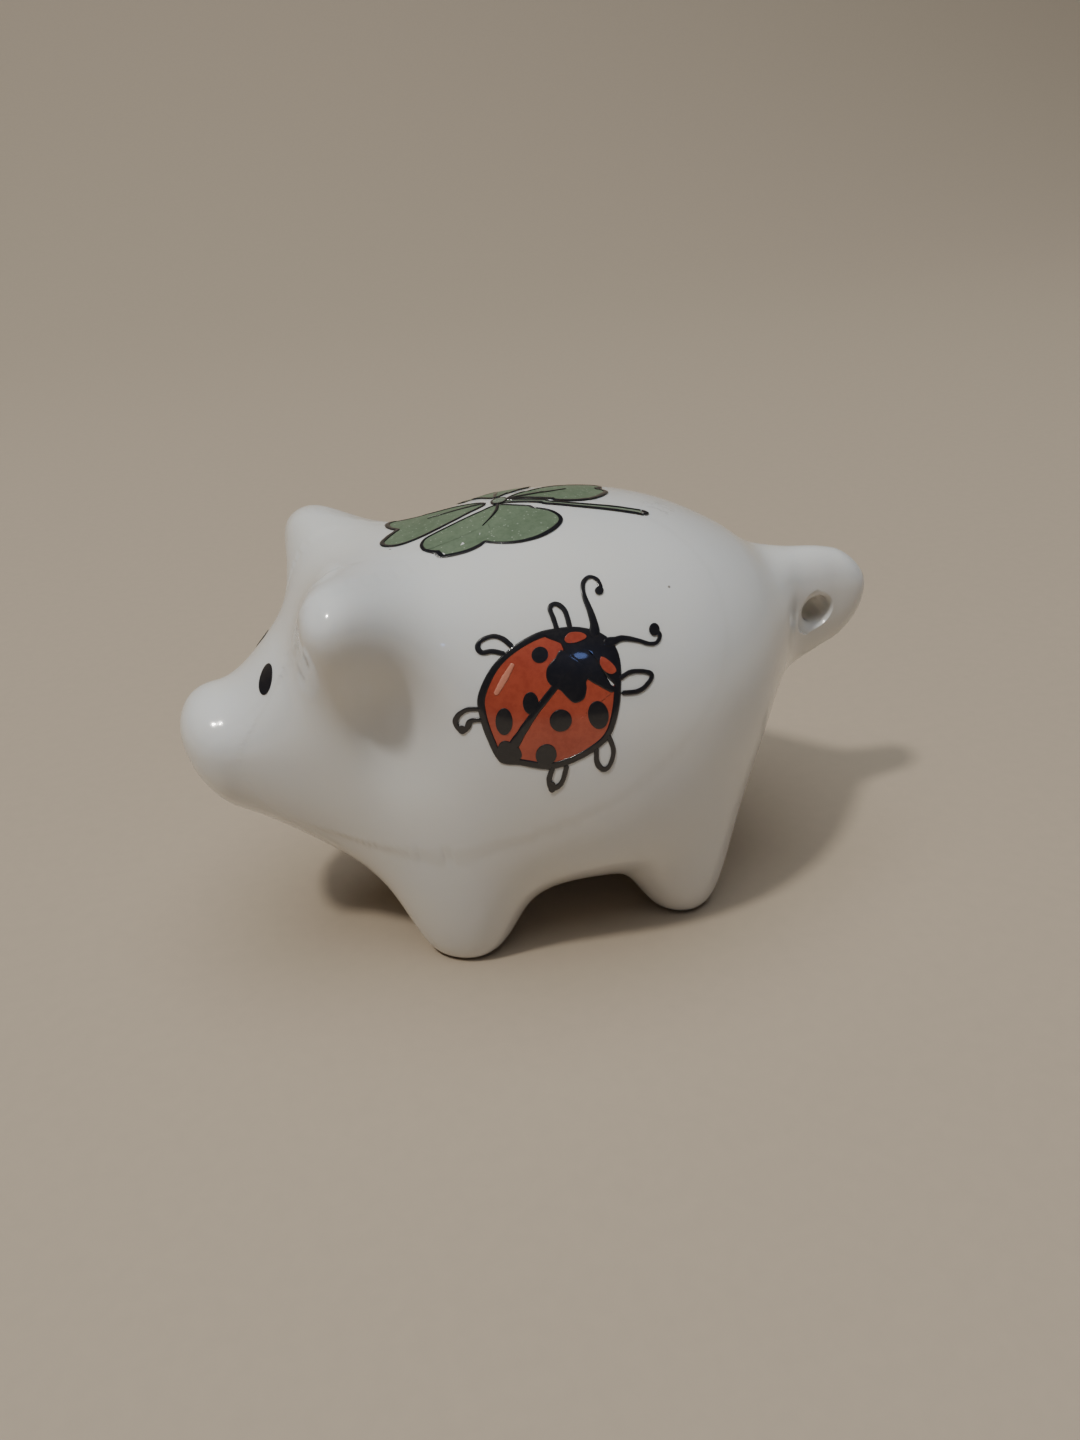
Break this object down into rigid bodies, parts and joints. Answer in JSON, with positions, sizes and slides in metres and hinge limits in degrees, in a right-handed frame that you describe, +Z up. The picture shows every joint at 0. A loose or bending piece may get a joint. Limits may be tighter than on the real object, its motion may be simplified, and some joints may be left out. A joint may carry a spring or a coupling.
{
  "type": "porcelain lucky pig",
  "caption": "Small standing pig figurine in white glazed porcelain, hollow, with a pierced tail lug for a thread and printed ladybird and clover.",
  "frame": {"origin": "on the ground under the middle of the pig's bounding box", "axes": "+Z up, snout towards -X, tail towards +X, left flank with the ladybird towards -Y"},
  "size_m": [0.05, 0.0265, 0.0311],
  "materials": {
    "porcelain": "white body under a clear gloss glaze",
    "black_enamel": "fired on-glaze print, gloss",
    "red_enamel": "fired on-glaze print, gloss",
    "green_enamel": "fired on-glaze print, gloss, finely speckled",
    "pink_enamel": "fired on-glaze print, gloss"
  },
  "bodies": {
    "root": {"porcelain_body": "porcelain", "tail_lug": "porcelain", "eye_left": "black_enamel", "eye_right": "black_enamel", "ladybird_wing_case_left": "red_enamel", "ladybird_wing_case_right": "red_enamel", "ladybird_linework": "black_enamel", "ladybird_spot_1": "black_enamel", "ladybird_spot_2": "black_enamel", "ladybird_spot_3": "black_enamel", "ladybird_spot_4": "black_enamel", "ladybird_spot_5": "black_enamel", "ladybird_spot_6": "black_enamel", "ladybird_cheek_1": "red_enamel", "ladybird_cheek_2": "red_enamel", "ladybird_glint": "pink_enamel", "clover_leaflet_near": "green_enamel", "clover_leaflet_front": "green_enamel", "clover_leaflet_far": "green_enamel", "clover_leaflet_back": "green_enamel", "clover_outline_near": "black_enamel", "clover_outline_front": "black_enamel", "clover_outline_far": "black_enamel", "clover_outline_back": "black_enamel", "clover_stem": "green_enamel", "clover_stem_edge_near": "black_enamel", "clover_stem_edge_far": "black_enamel", "clover_knot": "green_enamel"}
  },
  "joints": []
}
